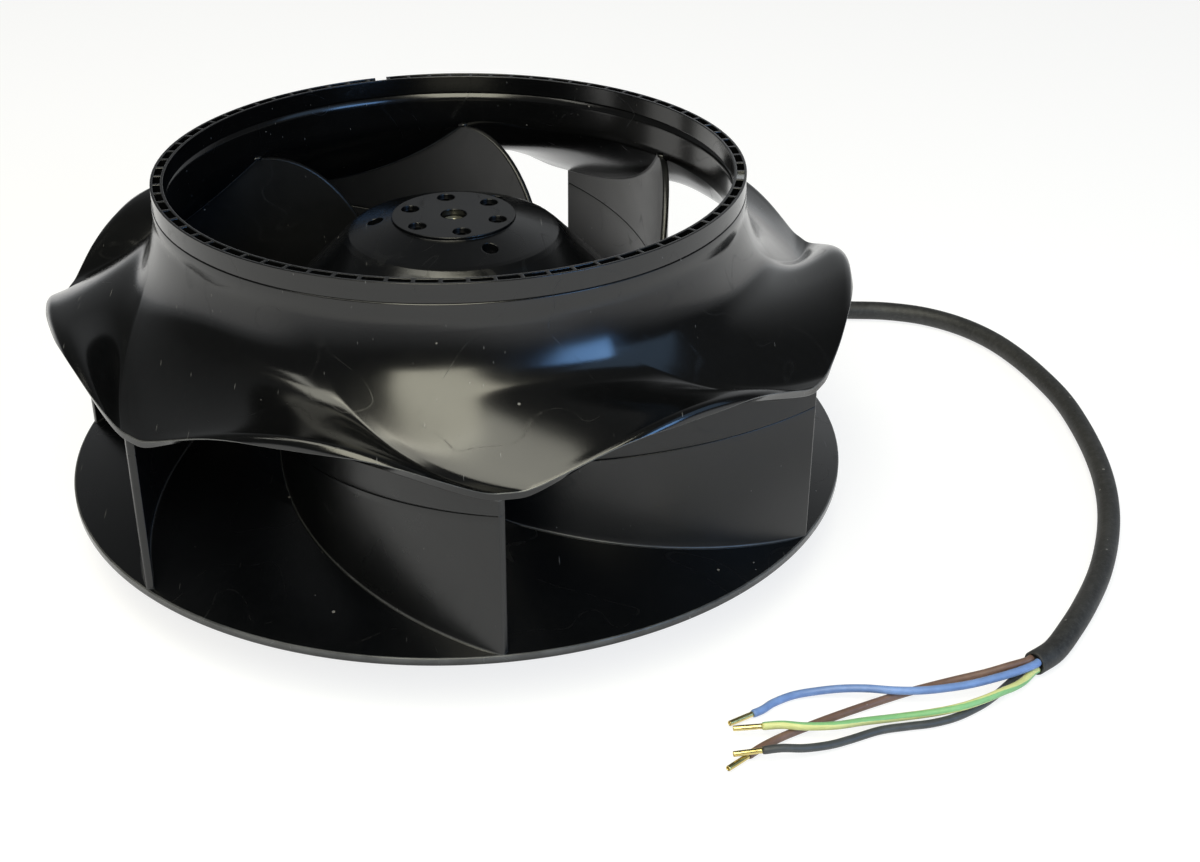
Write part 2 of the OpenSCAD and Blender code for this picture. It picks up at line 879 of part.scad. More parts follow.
module earth_wire() {
  color("#b9c98a")
    tube(earth_route, core_d, 8);
}

module ferrule(p) {
  n = len(p);
  v = unit(p[n - 1] - p[n - 2]);
  translate(p[n - 1] + fit * v)
    rotate([0, acos(v[2]), atan2(v[1], v[0])])
      cylinder(d = ferrule_d, h = ferrule_l);
}

module wire_ferrules() {
  color("#c9ad63") {
    ferrule(blue_route);
    ferrule(brown_route);
    ferrule(black_route);
    ferrule(earth_route);
  }
}

base_wheel();
base_blades();
shroud_blades();
shroud();
balance_ring();
balance_weight();
hub_screws();
rotor_cup();
rotor_core();
squirrel_cage();
shaft();
shaft_circlip();
upper_bearing_inner();
upper_bearing_balls();
upper_bearing_cage();
upper_bearing_outer();
lower_bearing_inner();
lower_bearing_balls();
lower_bearing_cage();
lower_bearing_outer();
preload_spring();
bearing_cap();
stator_flange();
stator_core();
upper_insulator();
lower_insulator();
windings();
thermal_cutout();
earth_screw();
cable_gland();
cable();
blue_wire();
brown_wire();
black_wire();
earth_wire();
wire_ferrules();
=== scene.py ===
"""Plug fan: fine surfaces, cords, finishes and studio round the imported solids. Metres, Z up."""

import bmesh
import bpy
import numpy as np
from mathutils import Matrix, Vector


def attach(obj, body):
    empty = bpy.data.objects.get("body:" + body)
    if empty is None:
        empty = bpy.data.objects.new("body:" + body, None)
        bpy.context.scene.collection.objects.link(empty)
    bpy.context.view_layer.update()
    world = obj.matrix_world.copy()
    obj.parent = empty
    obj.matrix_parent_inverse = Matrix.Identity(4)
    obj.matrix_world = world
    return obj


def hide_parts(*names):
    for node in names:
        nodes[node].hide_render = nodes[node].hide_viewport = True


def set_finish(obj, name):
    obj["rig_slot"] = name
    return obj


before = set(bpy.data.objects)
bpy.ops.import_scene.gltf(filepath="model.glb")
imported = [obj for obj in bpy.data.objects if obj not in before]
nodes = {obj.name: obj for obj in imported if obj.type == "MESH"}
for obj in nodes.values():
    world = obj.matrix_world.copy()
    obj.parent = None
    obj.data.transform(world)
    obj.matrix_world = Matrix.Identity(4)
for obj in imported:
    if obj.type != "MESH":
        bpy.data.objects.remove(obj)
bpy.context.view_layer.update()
MM = 0.001

# Camera: the photograph's place and viewing angle, the lens as a share of the picture's width
CAMERA_AT = Vector((0.0036, -0.5108, 0.3037))
CAMERA_YAW, CAMERA_PITCH, CAMERA_ROLL = 0.0835, 0.5058, 0.0071
LENS_SHARE = 1743.5 / 1200


def aim(location, yaw, pitch, roll):
    """Matrix of a camera at location that looks yaw to the right of +Y and pitch below the horizon."""
    ahead = Vector((np.sin(yaw) * np.cos(pitch), np.cos(yaw) * np.cos(pitch), -np.sin(pitch)))
    side = ahead.cross(Vector((0, 0, 1))).normalized()
    top = side.cross(ahead)
    right = side * np.cos(roll) + top * np.sin(roll)
    up = top * np.cos(roll) - side * np.sin(roll)
    return Matrix.Translation(location) @ Matrix((right, up, -ahead)).transposed().to_4x4()


def make_camera():
    """The scene's camera, without shift or depth of field."""
    data = bpy.data.cameras.new("camera")
    data.sensor_width = 36
    data.lens = data.sensor_width * LENS_SHARE
    data.clip_start, data.clip_end = 0.01, 50
    camera = bpy.data.objects.new("camera", data)
    camera.matrix_world = aim(CAMERA_AT, CAMERA_YAW, CAMERA_PITCH, CAMERA_ROLL)
    bpy.context.collection.objects.link(camera)
    bpy.context.scene.camera = camera


make_camera()


# Meshes from grids

def grid_faces(rows, columns, wrap_rows=False, wrap_columns=False):
    """Quads over a grid of points numbered row by row; a wrapped direction joins its end to its start."""
    r = np.arange(rows if wrap_rows else rows - 1)
    c = np.arange(columns if wrap_columns else columns - 1)
    a, b = np.meshgrid(r, c, indexing="ij")
    a2, b2 = (a + 1) % rows, (b + 1) % columns
    quads = [a * columns + b, a2 * columns + b, a2 * columns + b2, a * columns + b2]
    return np.stack(quads, -1).reshape(-1, 4)


def joined(parts):
    """Points, faces and values of several grids as one; the faces' numbers move up by the points before."""
    starts = np.cumsum([0] + [len(p[0]) for p in parts[:-1]])
    points = np.concatenate([p[0] for p in parts])
    faces = np.concatenate([p[1] + s for p, s in zip(parts, starts)])
    return points, faces, np.concatenate([p[2] for p in parts])


def add_piece(name, points, faces, body, slot, stands_for=(), value=None):
    """A closed mesh from points in millimetres: doubles merged, faces turned outwards, riding on a body.

    value is one number a point, kept as a named point attribute for the materials: on the plastic pieces it marks
    edges for a painted highlight, on the earth core it sets the stripe's angle."""
    mesh = bpy.data.meshes.new(name)
    mesh.from_pydata((np.asarray(points, float).reshape(-1, 3) * MM).tolist(), [], np.asarray(faces).tolist())
    if value is not None:
        layer = mesh.attributes.new("stripe_and_highlight", "FLOAT", "POINT")
        layer.data.foreach_set("value", np.asarray(value, np.float32).ravel())
    work = bmesh.new()
    work.from_mesh(mesh)
    bmesh.ops.remove_doubles(work, verts=work.verts, dist=2e-6)
    bmesh.ops.dissolve_degenerate(work, edges=work.edges, dist=1e-7)
    bmesh.ops.recalc_face_normals(work, faces=work.faces)
    work.to_mesh(mesh)
    work.free()
    mesh.polygons.foreach_set("use_smooth", np.ones(len(mesh.polygons), bool))
    mesh.update()
    piece = bpy.data.objects.new(name, mesh)
    bpy.context.collection.objects.link(piece)
    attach(piece, body)
    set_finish(piece, slot)
    if stands_for:
        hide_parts(*stands_for)
    return piece


def unit(v):
    """Vectors in the last axis, each divided by its length."""
    return v / np.linalg.norm(v, axis=-1, keepdims=True)


def mix(a, b, w):
    """a where w is 0, b where w is 1, in a straight line between."""
    return a + (b - a) * w


def swept_rings(centres, normals, radii, sides):
    """Circles of given centres, normals and radii joined in turn, with both ends closed to a point."""
    side = unit(np.cross(normals, [0.0, 0.0, 1.0]))
    top = np.cross(side, normals)
    a = np.linspace(0, 2 * np.pi, sides, endpoint=False)
    ring = np.cos(a)[None, :, None] * side[:, None, :] + np.sin(a)[None, :, None] * top[:, None, :]
    points = centres[:, None, :] + np.asarray(radii)[:, None, None] * ring
    poles = [np.repeat(centres[k:k + 1, None, :], sides, 1) for k in (0, len(centres) - 1)]
    points = np.concatenate([poles[0], points, poles[1]])
    return points.reshape(-1, 3), grid_faces(len(centres) + 2, sides, wrap_columns=True)


def lathe(profile, segments):
    """A closed profile of (radius, height) points turned once round the Z axis."""
    a = np.linspace(0, 2 * np.pi, segments, endpoint=False)[:, None]
    r, z = np.array(profile, float).T
    points = np.stack([r * np.cos(a), r * np.sin(a), z + 0 * a], -1)
    return points.reshape(-1, 3), grid_faces(segments, len(r), True, True)


# Cords: the routes of the solids, in millimetres, each a smooth line through its points

CABLE_D, CORE_D, FERRULE_D, FERRULE_L = 7.2, 2.3, 1.6, 8.0
CORD_STEPS, CABLE_SIDES, CORE_SIDES = 8, 40, 24
CORE_ROUND, STRIPE_LEAN = 0.12, (3.9, 0.8)
CABLE_ROUTE = [
    (37.5, 64.95, 6.5), (46.6, 80.7, 6.5), (60, 94.5, 6), (75.5, 105, 5.2), (92, 114, 4.4),
    (109.5, 120.5, 3.9), (128, 123.5, 3.75), (144.5, 124.2, 3.75), (159, 123, 3.75), (173, 121, 3.75),
    (187, 115.5, 3.75), (199, 105.5, 3.75), (208, 92, 3.75), (214, 76, 3.75), (218, 58.5, 3.75),
    (220.5, 40, 3.75), (220.5, 20, 3.75), (219, 0, 3.75), (216, -19, 3.75), (211, -38, 3.75),
    (204, -56.5, 3.75), (195.5, -74, 3.75), (186, -89.5, 3.75), (177.5, -101.5, 3.75),
    (169.6, -111.3, 3.75), (162, -117, 3.75),
]
CORE_ROUTES = {
    "blue": [
        (162.75, -118, 5), (161.15, -119.2, 5), (156, -121.5, 4.8), (149, -123.5, 4.3), (141.5, -125.3, 3.9),
        (134, -126.6, 3.9), (126.5, -127.2, 3.9), (119, -126.6, 3.9), (111.5, -124.9, 3.7),
        (104.5, -123.6, 3), (97.5, -123, 2), (91, -123.6, 1.4), (85, -126.4, 1.3), (81.5, -129.2, 1.3),
        (78.4, -130.9, 1.3),
    ],
    "brown": [
        (161.25, -116, 5), (159.65, -117.2, 5), (154, -118.5, 4.4), (147, -119.4, 3), (139, -120.2, 1.8),
        (131, -122, 1.3), (123, -124.6, 1.3), (115, -127.7, 1.3), (107, -131, 1.3), (99, -134.5, 1.3),
        (92, -137.8, 1.3), (85, -141.3, 1.3), (79, -145, 1.3), (74.5, -148.5, 1.3),
    ],
    "black": [
        (161.25, -116, 2.5), (159.65, -117.2, 2.5), (156.5, -119.8, 1.8), (152.5, -123.4, 1.4),
        (147.5, -128, 1.3), (142, -132.2, 1.3), (134.4, -136.4, 1.3), (127, -138.6, 1.3),
        (120, -139.4, 1.3), (112, -140.6, 1.3), (103, -144, 1.4), (96.7, -146.6, 2), (89.6, -148.6, 3),
        (83.3, -149.2, 3.9), (78.1, -149.4, 3.6),
    ],
    "earth": [
        (162.75, -118, 2.5), (161.15, -119.2, 2.5), (157.5, -123, 2.5), (153.5, -126.6, 3.3),
        (149, -129.4, 3.9), (143.5, -132.2, 3.9), (136, -135.2, 3.9), (128, -135.8, 2.8), (118, -136.2, 2),
        (108, -138, 2.6), (99.8, -140.4, 3.6), (91.4, -140.6, 3.9), (85.1, -139.2, 3.7), (79.7, -138.9, 3.3),
    ],
}


def smooth_line(route, steps):
    """Points along a route: on each span a cubic whose slopes at its ends are half the chord beside them."""
    p = np.array(route, float)
    ends = np.vstack([2 * p[0] - p[1], p, 2 * p[-1] - p[-2]])
    a, b, c, d = (q[:, None, :] for q in (ends[:-3], ends[1:-2], ends[2:-1], ends[3:]))
    t = np.linspace(0, 1, steps, endpoint=False)[None, :, None]
    cubic = b + 0.5 * t * (c - a + t * (2 * a - 5 * b + 4 * c - d + t * (3 * (b - c) + d - a)))
    return np.vstack([cubic.reshape(-1, 3), p[-1]])


def make_cable():
    """The sheath: a round profile along the route, its cut end a rounded rim round a shallow recess."""
    line = smooth_line(CABLE_ROUTE, CORD_STEPS)
    ahead = unit(np.gradient(line, axis=0))
    end, way = line[-1], ahead[-1]
    back = np.array([0.25, 0.0, 0.0, 0.25, 1.6])
    share = np.array([1.0, 0.95, 0.83, 0.78, 0.78])
    centres = np.vstack([line[:-1], end - back[:, None] * way])
    normals = np.vstack([ahead[:-1], np.repeat(way[None], len(back), 0)])
    radii = CABLE_D / 2 * np.concatenate([np.ones(len(line) - 1), share])
    points, faces = swept_rings(centres, normals, radii, CABLE_SIDES)
    cable = add_piece("cable_sheath", points, faces, "stator", "sheath", ["cable"])
    return cable


def make_ferrule(name, line):
    """A crimped tube on a core's end: rings along the core's last direction, hollow at the open end."""
    way = unit(line[-1] - line[-2])
    along = np.array([0.02, 0.05, 0.5, 1.1, 1.7, 6.4, 7.3, 7.9, FERRULE_L, FERRULE_L, 7.7, 6.4])
    share = np.array([0.7, 1.0, 1.0, 0.94, 1.0, 1.0, 0.97, 0.97, 0.9, 0.76, 0.7, 0.66])
    centres = line[-1] + along[:, None] * way
    points, faces = swept_rings(centres, np.repeat(way[None], len(along), 0), FERRULE_D / 2 * share, CORE_SIDES)
    return add_piece(name, points, faces, "stator", "ferrule_brass")


def make_core(colour, route):
    """A core from inside the sheath's end to its ferrule; "trim" leans round it for a two-colour stripe."""
    line = smooth_line(route, CORD_STEPS)
    ahead = unit(np.gradient(line, axis=0))
    radii = np.full(len(line), CORE_D / 2)
    radii[-1] -= CORE_ROUND
    points, faces = swept_rings(line, ahead, radii, CORE_SIDES)
    turn = np.linspace(0, 2 * np.pi, CORE_SIDES, endpoint=False)[None, :]
    lean = np.linspace(*STRIPE_LEAN, len(line) + 2)[:, None]
    core = add_piece(f"core_{colour}", points, faces, "stator", f"core_{colour}", [f"{colour}_wire"],
                     np.cos(turn - lean))
    tip = make_ferrule(f"ferrule_{colour}", line)
    return core, tip


cable_sheath = make_cable()
cores, ferrules = {}, []
for core_colour, core_route in CORE_ROUTES.items():
    cores[core_colour], core_tip = make_core(core_colour, core_route)
    ferrules.append(core_tip)
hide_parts("wire_ferrules")


# Impeller: the driving sizes of the solids, in millimetres

RIM_R, RIM_Z, EYE_R = 125.0, 20.0, 87.0
OUTLET_H, FLARE_H, INLET_H, RING_H, RING_W, NECK_STEP = 49.4, 28.2, 95.8, 5.8, 3.8, 0.4
LIP_RISE, LIP_SLOPE, WALL = 13.2, 0.02, 2.2
OUTLET_Z = RIM_Z + OUTLET_H
CORNER_Z = OUTLET_Z + FLARE_H
NECK_TOP = RIM_Z + INLET_H - RING_H
NECK_R = EYE_R + RING_W - NECK_STEP
BLADES, BLADE_T, BLADE_R, BLADE_EXIT, LEAD = 7, 2.2, 105.0, np.radians(26.7), np.radians(-84.3)
PITCH = 2 * np.pi / BLADES
SEAM_H, SEAM_FALL = 44.5, 0.24
EDGE_R, EDGE_Z = EYE_R - 20, RIM_Z + 24
ARC = np.array([RIM_R - BLADE_R * np.cos(BLADE_EXIT), BLADE_R * np.sin(BLADE_EXIT)])
ARC_OFF, ARC_A = np.hypot(*ARC), np.arctan2(ARC[1], ARC[0])


def camber(r):
    """Angle of the blade's middle line at radius r: where a circle about ARC meets the circle of radius r."""
    return ARC_A - np.arccos(np.clip((r * r + ARC_OFF ** 2 - BLADE_R ** 2) / (2 * r * ARC_OFF), -1, 1))


def bezier(c, t):
    """Cubic through four control points c[0..3], each an array of the same shape as t with (r, z) last."""
    t = t[..., None]
    return c[0] * (1 - t) ** 3 + 3 * c[1] * t * (1 - t) ** 2 + 3 * c[2] * t * t * (1 - t) + c[3] * t ** 3


def bezier_slope(c, t):
    """A third of that cubic's slope: the three steps between its control points, blended by t."""
    t = t[..., None]
    return (c[1] - c[0]) * (1 - t) ** 2 + 2 * (c[2] - c[1]) * t * (1 - t) + (c[3] - c[2]) * t * t


# Shroud: sections over a blade and on the crest between two, each a cubic in (r, z)

INNER, OUTER = np.array([EYE_R, CORNER_Z]), np.array([RIM_R, OUTLET_Z])
KNEE = np.array([(RIM_R + EYE_R) / 2, OUTLET_Z + LIP_SLOPE * (RIM_R - EYE_R) / 2])
CREST_IN, CREST_OUT, CREST_LIP = (6.8, -21.6), (-1.7, -13.2), 0.1
UNDER_VALLEY = np.array([INNER, mix(INNER, KNEE, 2 / 3), mix(OUTER, KNEE, 2 / 3), OUTER])
UNDER_CREST = np.array([
    INNER,
    [EYE_R + CREST_IN[0], CORNER_Z + CREST_IN[1]],
    [RIM_R + CREST_OUT[0], CORNER_Z + CREST_OUT[1]],
    [RIM_R - WALL - CREST_LIP, OUTLET_Z + LIP_RISE],
])
WAVE_SOFT, WAVE_FLAT, WAVE_LEAN, LEAN_W = 0.1, 0.022, 0.9, 13.0
FADE, FADE_W, SHOULDER = 3.7, 9.0, 0.7
FILLET_H, FILLET_W, FLUSH = 8.7, 8.6, 0.38
LIP_ROUND, LIP_FROM = 0.3, 0.9
GROOVE_W, GROOVE_D = 0.35, 0.06


def valley_z(r):
    """Underside of the shroud along a blade: a parabola from the neck's corner to the rim."""
    t = (r - EYE_R) / (RIM_R - EYE_R)
    return CORNER_Z * (1 - t) ** 2 + 2 * KNEE[1] * t * (1 - t) + OUTLET_Z * t * t


def wave(u, r):
    """0 over a blade, 1 on the crest between two blades.

    A half sine of u, softened at its feet and more so towards the neck; inwards of the rim a quadratic term leans
    its crest to the next blade."""
    v = np.clip((u - WAVE_FLAT) / (1 - 2 * WAVE_FLAT), 0, 1)
    lean = WAVE_LEAN * (1 - np.exp((r - RIM_R) / LEAN_W))
    s = np.sin(np.pi * (v - lean * v * (1 - v)))
    soft = WAVE_SOFT + FADE * np.exp((EYE_R - r) / FADE_W)
    return (np.sqrt(s * s + soft ** 2) - soft) / (np.sqrt(1 + soft ** 2) - soft)


def make_shroud():
    """The shroud: for every angle u in a pitch a closed section of underside, rounded lip and top.

    The underside is a cubic whose control points go from UNDER_VALLEY to UNDER_CREST with the wave. The top is
    one wall above it, square to it, and rises by a cubed fillet into the neck, which ends in a fine groove under
    the ring. The lip is flat between two small quarter rounds, and its upper one is painted pale as a highlight."""
    steps = 96
    x = np.arange(steps) / steps
    u = x - 0.5 * np.sin(2 * np.pi * x) / (2 * np.pi)
    t = np.linspace(0, 1, 45) ** 1.35
    grid_u, grid_t = np.meshgrid(u, t, indexing="ij")
    w = wave(grid_u, mix(EYE_R, RIM_R, grid_t))[..., None]
    control = [mix(a, b, share) for a, b, share in zip(UNDER_VALLEY, UNDER_CREST, (w, w, w ** SHOULDER, w))]
    under = bezier(control, grid_t)
    along = unit(bezier_slope(control, grid_t))
    top = under + WALL * np.stack([-along[..., 1], along[..., 0]], -1)
    top[..., 0] = np.clip(top[..., 0], NECK_R, RIM_R)
    top[..., 1] += FILLET_H * np.clip(1 - (top[..., 0] - NECK_R) / FILLET_W, 0, None) ** 3
    top[..., 0] += FLUSH * np.clip(1 - (top[..., 0] - NECK_R) / FILLET_W, 0, None)
    way = along[:, -1:, :]
    near = np.clip((grid_t - LIP_FROM) / (1 - LIP_FROM), 0, 1)[..., None] * LIP_ROUND
    under, top = under - near * way, top - near * way
    across = unit(top[:, -1:, :] - under[:, -1:, :])
    a = np.linspace(0, np.pi / 2, 6)[None, 1:, None]
    low = under[:, -1:, :] + LIP_ROUND * (np.sin(a) * way + (1 - np.cos(a)) * across)
    high = (top[:, -1:, :] + LIP_ROUND * (np.sin(a) * way - (1 - np.cos(a)) * across))[:, ::-1]
    flat = mix(low[:, -1:], high[:, :1], np.array([0.02, 0.5, 0.98])[None, :, None])
    lip = np.concatenate([low, flat, high], 1)
    neck = np.array([[NECK_R + FLUSH, NECK_TOP - GROOVE_W], [NECK_R + FLUSH - GROOVE_D, NECK_TOP - 0.4 * GROOVE_W],
                     [NECK_R, NECK_TOP], [EYE_R, NECK_TOP]])
    down = np.linspace(0, 1, 5)[1:-1]
    wall_in = np.stack([EYE_R + 0 * down, mix(NECK_TOP, CORNER_Z, down)], -1)
    rows = [top[:, ::-1], np.repeat(neck[None], steps, 0), np.repeat(wall_in[None], steps, 0), under, lip]
    section = np.concatenate(rows, 1)
    # Painted highlight: the lip's upper quarter round is marked to be painted pale.
    edge = np.zeros(section.shape[:2])
    edge[:, 1 - high.shape[1]:] = 1
    r, z = section[..., 0], section[..., 1]
    turn = LEAD + PITCH * (np.arange(BLADES)[:, None, None] + u[None, :, None]) + camber(r)[None]
    points = np.stack([r * np.cos(turn), r * np.sin(turn), z + 0 * turn], -1)
    faces = grid_faces(BLADES * steps, section.shape[1], True, True)
    return add_piece("shroud_skin", points, faces, "rotor", "shroud_plastic", ["shroud"],
                     np.repeat(edge[None], BLADES, 0))


# Base disc: the cone from the flank to the rim, the flank up to the hub's shoulder

HUB_Z = RIM_Z + 79
CONE_R, CONE_SLOPE, FLANK_R = 80, 0.271, 49
CONE_IN = np.array([CONE_R, RIM_Z + CONE_SLOPE * (RIM_R - CONE_R)])
FLANK_OUT = np.array([FLANK_R, HUB_Z - 21])
FLANK = np.array([FLANK_OUT, FLANK_OUT + [9, -9], [58, CONE_IN[1] + 5.9], CONE_IN])


def base_z(r):
    """Height of the base disc's top at radius r, read along its profile."""
    curve = bezier(FLANK[:, None, :], np.linspace(0, 1, 60))
    return np.interp(r, np.append(curve[:, 0], RIM_R), np.append(curve[:, 1], RIM_Z))


def seam_z(r):
    """Height of the weld seam at radius r: a straight line that falls from the rim inwards."""
    return RIM_Z + SEAM_H - SEAM_FALL * (RIM_R - r)


def edge_at(z):
    """Radius of the blade's inlet edge at height z: a quarter ellipse from the neck's corner down to EDGE_R."""
    h = np.clip((z - EDGE_Z) / (CORNER_Z - EDGE_Z), 0, 1)
    return EYE_R - (EYE_R - EDGE_R) * np.sqrt(1 - h * h)


def coons(low, high, left, right, c, v):
    """Coons patch in (r, z): the four border curves blended, less the plane through their corners."""
    c, v = c[None, :, None], v[..., None]
    tip = np.argmax(c)
    corners = mix(mix(low[0], low[tip], c), mix(high[0], high[tip], c), v)
    return mix(low[None], high[None], v) + mix(left, right, c) - corners


def blade_loop(chord, end):
    """One way round a blade's section: outer face, outer end, inner face, inlet edge, as (c, e) arrays.

    c runs from the inlet edge to the outer end, e from +1 on the outer face to -1 on the inner face."""
    c = 0.5 - 0.5 * np.cos(np.linspace(0, np.pi, chord))
    e = np.cos(np.linspace(0, np.pi, end))[1:-1]
    loop_c = np.concatenate([c, np.ones(end - 2), c[::-1], np.zeros(end - 2)])
    loop_e = np.concatenate([np.ones(chord), e, -np.ones(chord), -e])
    return loop_c, loop_e


ROOT_FILLET, END_ROUND, END_POWER = 0.6, 0.35, 12
TIP_BACK, TIP_SHIFT = np.radians(-0.7), np.radians(-1.23)
SEAM_EDGE_R = EDGE_R + 0.15
SINK_BASE, SINK_SHROUD = -0.4, 0.8


def blade_rows(height, fillet_below):
    """Rows up a blade: each row's share of the blade's height and its extra half thickness.

    One end is a quarter round into what the blade meets, the other a small groove at the weld seam."""
    a = np.linspace(0, np.pi / 2, 7)
    fillet = np.stack([ROOT_FILLET * (1 - np.cos(a)), ROOT_FILLET * (1 - np.sin(a))])
    groove = np.array([[0.0, 0.1, 0.3], [-0.2, -0.06, 0.0]])
    foot, head = (fillet, groove) if fillet_below else (groove, fillet)
    below = foot[0][:, None] / height
    above = 1 - head[0][::-1, None] / height
    between = mix(below[-1:], above[:1], np.linspace(0, 1, 18)[1:-1, None])
    extra = np.concatenate([foot[1], np.zeros(len(between)), head[1][::-1]])
    return np.concatenate([below, between, above]), extra


def blade_points(r, z, c, e, half, k):
    """Points of blade k: on a circle about ARC, half a thickness off its middle line, its inlet edge round and
    its outer end cut at a slant."""
    phi = ARC_A - np.arccos(np.clip((r * r - ARC_OFF ** 2 - BLADE_R ** 2) / (2 * ARC_OFF * BLADE_R), -1, 1))
    corner = END_ROUND * np.clip((np.abs(e) - 0.7) / 0.3, 0, 1) ** 2
    slant = mix(TIP_BACK, TIP_SHIFT, (e + 1) / 2) - corner / BLADE_R
    nose = BLADE_T / 2 * (1 - np.sqrt(np.clip(1 - e * e, 0, 1))) / BLADE_R
    phi = phi + slant * c ** END_POWER + nose * (1 - c) ** END_POWER
    reach = BLADE_R + e * half
    x, y = ARC[0] + reach * np.cos(phi), ARC[1] + reach * np.sin(phi)
    a = LEAD + PITCH * k
    return np.stack([x * np.cos(a) - y * np.sin(a), x * np.sin(a) + y * np.cos(a), z + 0 * x], -1)


def blade_borders(lower, c, share):
    """Borders of a blade half in (r, z): the base or seam below, the seam or shroud above, inlet edge, outer end."""
    low_r = mix(EDGE_R if lower else SEAM_EDGE_R, RIM_R, c)
    high_r = mix(SEAM_EDGE_R if lower else EYE_R, RIM_R, c)
    low = np.stack([low_r, base_z(low_r) if lower else seam_z(low_r)], -1)
    high = np.stack([high_r, seam_z(high_r) if lower else valley_z(high_r)], -1)
    if share is None:
        return low, high
    if lower:
        z = mix(low[0, 1], high[0, 1], share)
        left = np.stack([edge_at(z), z], -1)
    else:
        start = np.arcsin((seam_z(SEAM_EDGE_R) - EDGE_Z) / (CORNER_Z - EDGE_Z))
        turn = mix(start, np.pi / 2, share)
        left = np.stack([EYE_R - (EYE_R - EDGE_R) * np.cos(turn), EDGE_Z + (CORNER_Z - EDGE_Z) * np.sin(turn)], -1)
    tip = np.argmax(c)
    right = np.stack([RIM_R + 0 * share, mix(low[tip, 1], high[tip, 1], share)], -1)
    return low, high, left, right


def make_blades(name, node, lower):
    """Lower or upper halves of the blades: a Coons patch in (r, z) carried round the section loop, thicker at the
    fillets and thinner at the seam's groove, its ends sunk a little into the disc or the shroud."""
    c, e = blade_loop(48, 9)
    low, high = blade_borders(lower, c, None)
    share, extra = blade_rows(high[:, 1] - low[:, 1], lower)
    rz = coons(*blade_borders(lower, c, share), c, share)
    # Painted highlight: a band along each fillet is marked to be painted pale.
    rounded = np.clip(1 - np.abs(extra / ROOT_FILLET - 0.3) / 0.25, 0, 1)
    fade = np.where(extra[:, None] > 0, np.clip((1 - c) / 0.06, 0, 1), 1)
    half = BLADE_T / 2 + extra[:, None] * fade
    meets, from_r = (base_z, FLANK_R) if lower else (valley_z, EYE_R)
    weight = 1 - share if lower else share
    sink = np.array([SINK_BASE, 0.0] if lower else [0.0, SINK_SHROUD])
    ends = [0, len(share) - 1]
    parts = []
    for k in range(BLADES):
        skin = blade_points(rz[..., 0], rz[..., 1], c, e, half, k)
        r = np.hypot(skin[..., 0], skin[..., 1])
        skin[..., 2] += weight * (meets(np.clip(r, from_r, RIM_R)) - meets(np.clip(rz[..., 0], from_r, RIM_R)))
        sunk = skin[ends] + np.array([0, 0, 1]) * sink[:, None, None]
        middle = blade_points(rz[ends][..., 0], sunk[..., 2], c, 0 * e, 0 * half[ends], k)
        points = np.concatenate([middle[:1], sunk[:1], skin, sunk[1:], middle[1:]])
        edge = np.repeat(np.concatenate([[0, 0], rounded, [0, 0]])[:, None], len(c), 1)
        parts.append((points.reshape(-1, 3), grid_faces(len(points), len(c), wrap_columns=True), edge.ravel()))
    points, faces, edge = joined(parts)
    return add_piece(name, points, faces, "rotor", "blade_plastic", [node], edge)


BEAD_ROUND, BEAD_W, RIM_STEPS = 0.3, 1.6, 360


def make_rim():
    """A rounded bead on the base disc's rim: a closed profile a hair outside the solid, turned round the axis."""
    a = np.linspace(np.pi / 2, 0, 6)
    r = RIM_R - 0.23 + BEAD_ROUND * np.cos(a)
    foot_r, foot_z = RIM_R - BEAD_W, RIM_Z - WALL + 0.2
    over = np.stack([r, RIM_Z - 0.18 + BEAD_ROUND * np.sin(a)], -1)
    below = np.stack([r, foot_z - BEAD_ROUND * np.sin(a)], -1)[::-1]
    inner = [[foot_r, foot_z], [foot_r, RIM_Z + 0.1]]
    points, faces = lathe(np.vstack([over, below, inner]), RIM_STEPS)
    # Painted highlight: the bead's upper round is marked to be painted pale.
    edge = np.concatenate([np.ones(len(over)), np.zeros(len(below) + len(inner))])
    return add_piece("rim_bead", points, faces, "rotor", "base_plastic", value=np.tile(edge, RIM_STEPS))


shroud_skin = make_shroud()
lower_blades = make_blades("lower_blades", "base_blades", True)
upper_blades = make_blades("upper_blades", "shroud_blades", False)
rim_bead = make_rim()


# Shader node groups: each puts out masks and heights, and every finish below sets its own values

def place(tree, kind, values=None, **fields):
    """A node of one kind: its own fields first, then its inputs by name or number; a socket is linked."""
    made = tree.nodes.new(kind)
    for field, setting in fields.items():
        setattr(made, field, setting)
    for key, value in (values or {}).items():
        if isinstance(value, bpy.types.NodeSocket):
            tree.links.new(value, made.inputs[key])
        else:
            made.inputs[key].default_value = value
    return made


def math(tree, operation, *values, clamp=False):
    """One sum on numbers or sockets."""
    return place(tree, "ShaderNodeMath", dict(enumerate(values)), operation=operation, use_clamp=clamp).outputs[0]


def noise(tree, vector, scale, detail=2.0, rough=0.5, distortion=0.0):
    """Cloudy noise between 0 and 1; scale counts its cells a metre."""
    values = {"Vector": vector, "Scale": scale, "Detail": detail, "Roughness": rough, "Distortion": distortion}
    return place(tree, "ShaderNodeTexNoise", values).outputs["Fac"]


def stretched(tree, vector, scale, turn):
    """A vector turned and scaled by axis."""
    return place(tree, "ShaderNodeMapping", {"Vector": vector, "Rotation": turn, "Scale": scale}).outputs[0]


def spread(tree, value, low, high, to_low=0.0, to_high=1.0):
    """A value from low..high carried to to_low..to_high, held at both ends."""
    values = {"Value": value, "From Min": low, "From Max": high, "To Min": to_low, "To Max": to_high}
    return place(tree, "ShaderNodeMapRange", values).outputs[0]


def blend(tree, share, a, b):
    """Colour a where share is 0, colour b where it is 1."""
    mixer = place(tree, "ShaderNodeMix", data_type="RGBA")
    for key, value in ((0, share), (6, a), (7, b)):
        if isinstance(value, bpy.types.NodeSocket):
            tree.links.new(value, mixer.inputs[key])
        else:
            mixer.inputs[key].default_value = value if key == 0 else (*value, 1)
    return mixer.outputs[2]


